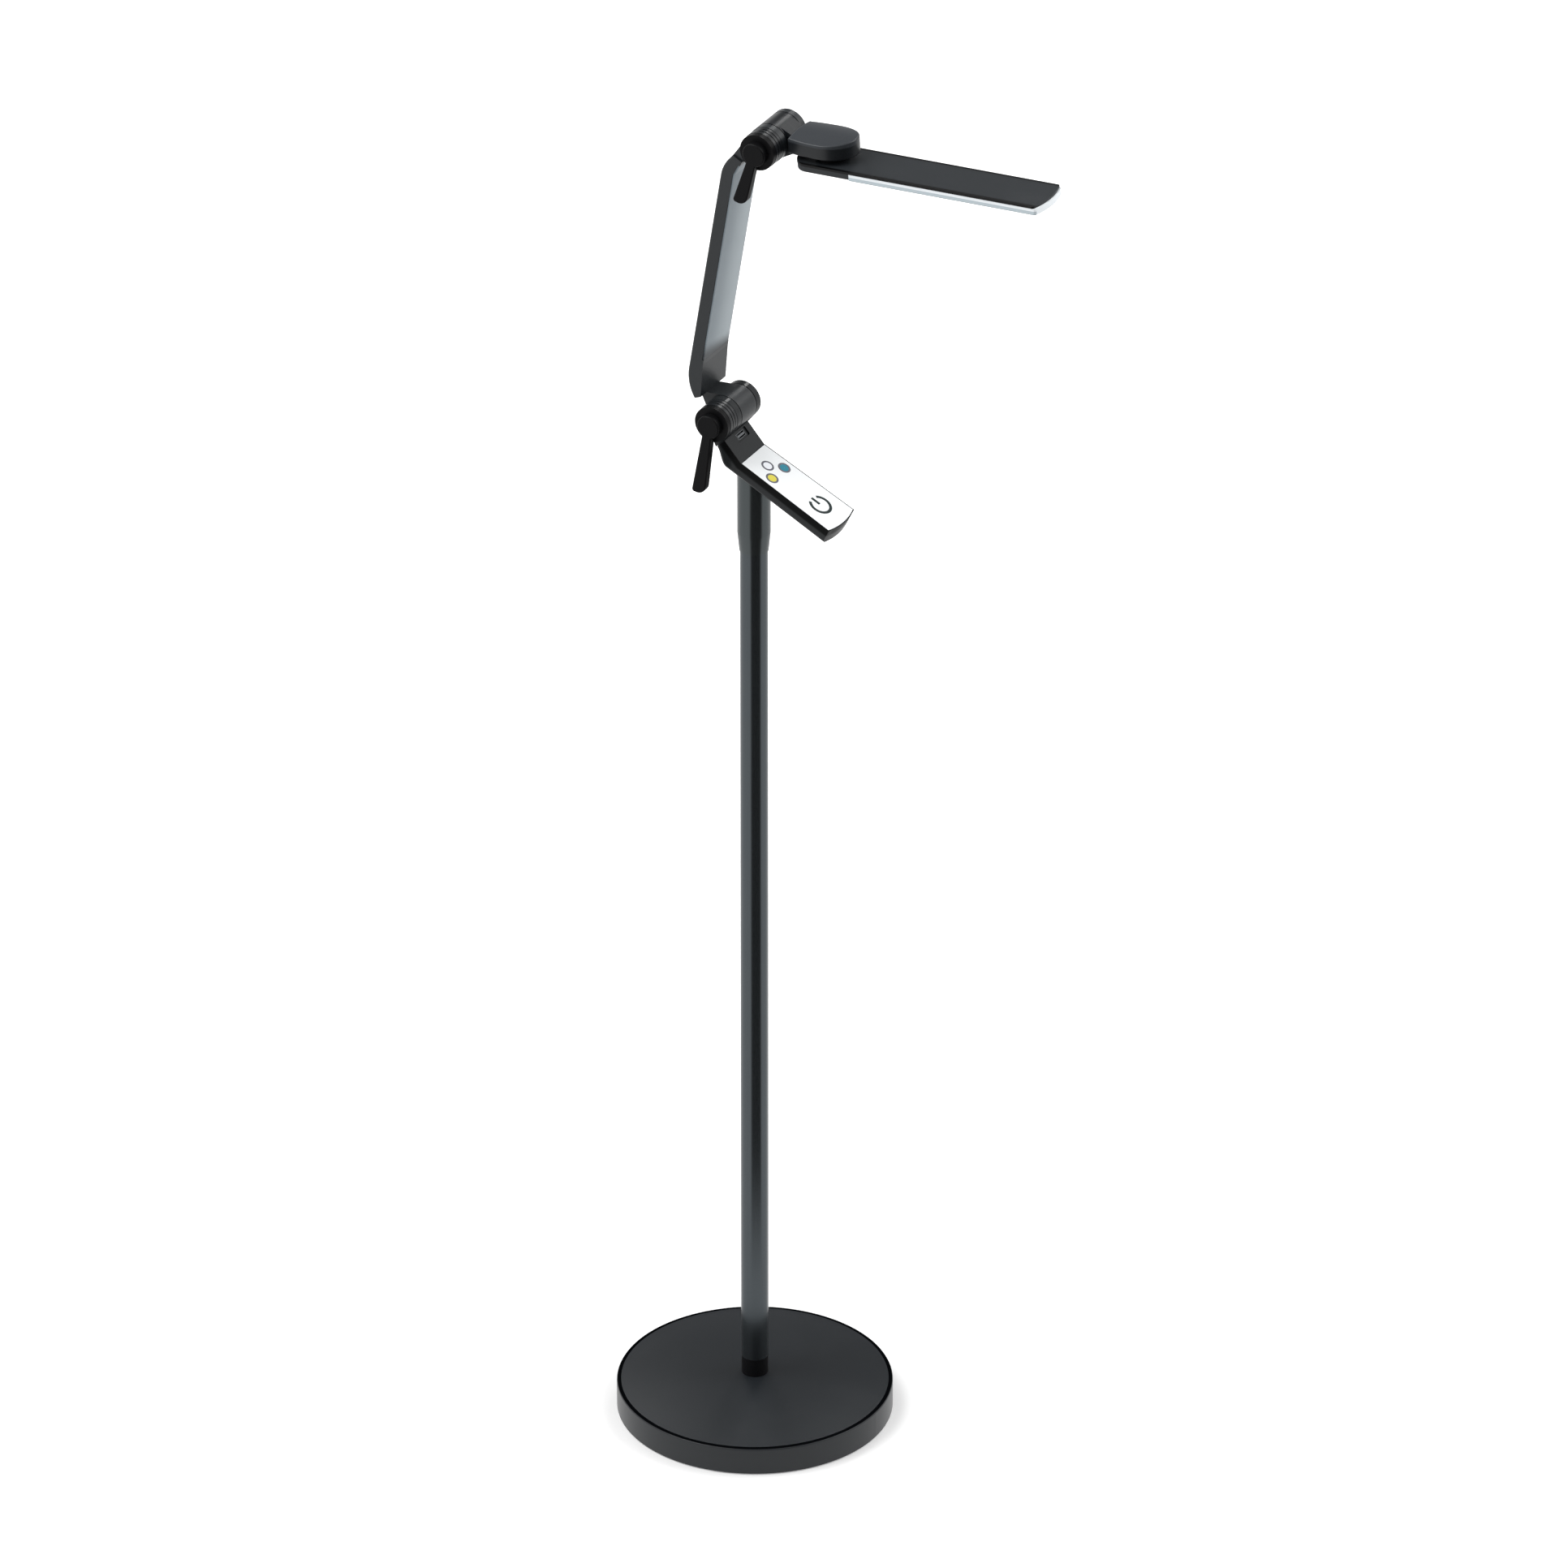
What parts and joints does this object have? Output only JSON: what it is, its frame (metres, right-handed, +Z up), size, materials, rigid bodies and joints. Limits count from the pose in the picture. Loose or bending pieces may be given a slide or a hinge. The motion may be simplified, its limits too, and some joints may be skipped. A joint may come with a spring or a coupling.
{
  "type": "led task floor lamp",
  "caption": "Floor lamp with a weighted round base, slim pole, tilted touch control, lever-locked elbows and a flat swivelling light head.",
  "frame": {"origin": "centre of the base's underside, on the floor under the foot pads", "axes": "+Z up the pole, +X the way the head points, elbow axes along Y with the clamp levers on the -Y side"},
  "size_m": [0.4285, 0.256, 1.3377],
  "materials": {
    "black_coat": "satin charcoal powder coat",
    "iron": "rough casting",
    "zinc_plate": "zinc plated",
    "bright_steel": "zinc plated",
    "rubber": "matte",
    "nylon": "natural nylon",
    "black_plastic": "satin moulded plastic",
    "white_panel": "glossy white touch face",
    "circuit_board": "green solder mask",
    "copper": "sprung copper",
    "silver_face": "satin silver-grey",
    "grey_ribbon": "flat ribbon lead",
    "anodised_head": "charcoal anodised",
    "diodes": "yellow phosphor",
    "milky_diffuser": "milky diffusing plastic"
  },
  "bodies": {
    "stand": {"base_cover": "black_coat", "base_weight": "iron", "bottom_plate": "zinc_plate", "foot_pads": "rubber", "plate_screws": "bright_steel", "base_washer": "bright_steel", "base_bolt": "bright_steel", "foot_collar": "black_plastic", "foot_plug": "bright_steel", "pole_tube": "black_coat", "top_plug": "bright_steel", "thrust_washer": "nylon", "swivel_screw": "bright_steel"},
    "control": {"stem": "black_plastic", "control_housing": "black_plastic", "stem_screw": "bright_steel", "touch_panel": "white_panel", "control_board": "circuit_board", "board_screws": "bright_steel", "key_pads": "copper", "power_jack": "black_plastic", "charging_port": "bright_steel", "lower_elbow_washers": "nylon", "lower_elbow_collar": "black_plastic", "lower_clamp_bolt": "bright_steel", "lower_end_cap": "black_plastic"},
    "lower_clamp": {"lower_lever": "black_plastic", "lower_lever_nut": "bright_steel"},
    "arm": {"arm_shell": "black_plastic", "arm_knuckle": "black_plastic", "arm_screws": "bright_steel", "arm_cover": "silver_face", "arm_ribbon": "grey_ribbon", "upper_elbow_washers": "nylon", "upper_elbow_collar": "black_plastic", "upper_clamp_bolt": "bright_steel", "upper_end_cap": "black_plastic"},
    "upper_clamp": {"upper_lever": "black_plastic", "upper_lever_nut": "bright_steel"},
    "bracket": {"bracket": "black_plastic", "block_lid": "black_plastic", "swivel_washer": "nylon"},
    "head": {"head_cover": "anodised_head", "head_body": "black_plastic", "head_screws": "bright_steel", "swivel_pin": "bright_steel", "swivel_collar": "black_plastic", "swivel_nut": "bright_steel", "led_board": "circuit_board", "leds": "diodes", "diffuser": "milky_diffuser"}
  },
  "joints": [
    {"name": "pole_swivel", "type": "hinge", "parent": "stand", "child": "control", "pos_m": [0, 0, 0.96], "axis": [0, 0, 1], "range_deg": [-170, 170]},
    {"name": "lower_elbow", "type": "hinge", "parent": "control", "child": "arm", "pos_m": [-0.022, 0, 1.037], "axis": [0, 1, 0], "range_deg": [-40, 75]},
    {"name": "upper_elbow", "type": "hinge", "parent": "arm", "child": "bracket", "pos_m": [0.02463, 0, 1.32019], "axis": [0, 1, 0], "range_deg": [-60, 55]},
    {"name": "head_swivel", "type": "hinge", "parent": "bracket", "child": "head", "pos_m": [0.07996, 0, 1.31345], "axis": [-0.0628, 0, 0.998], "range_deg": [-90, 90]},
    {"name": "lower_clamp_turn", "type": "hinge", "parent": "control", "child": "lower_clamp", "pos_m": [-0.022, 0, 1.037], "axis": [0, 1, 0], "range_deg": [0, 90]},
    {"name": "upper_clamp_turn", "type": "hinge", "parent": "arm", "child": "upper_clamp", "pos_m": [0.02463, 0, 1.32019], "axis": [0, 1, 0], "range_deg": [0, 90]}
  ]
}
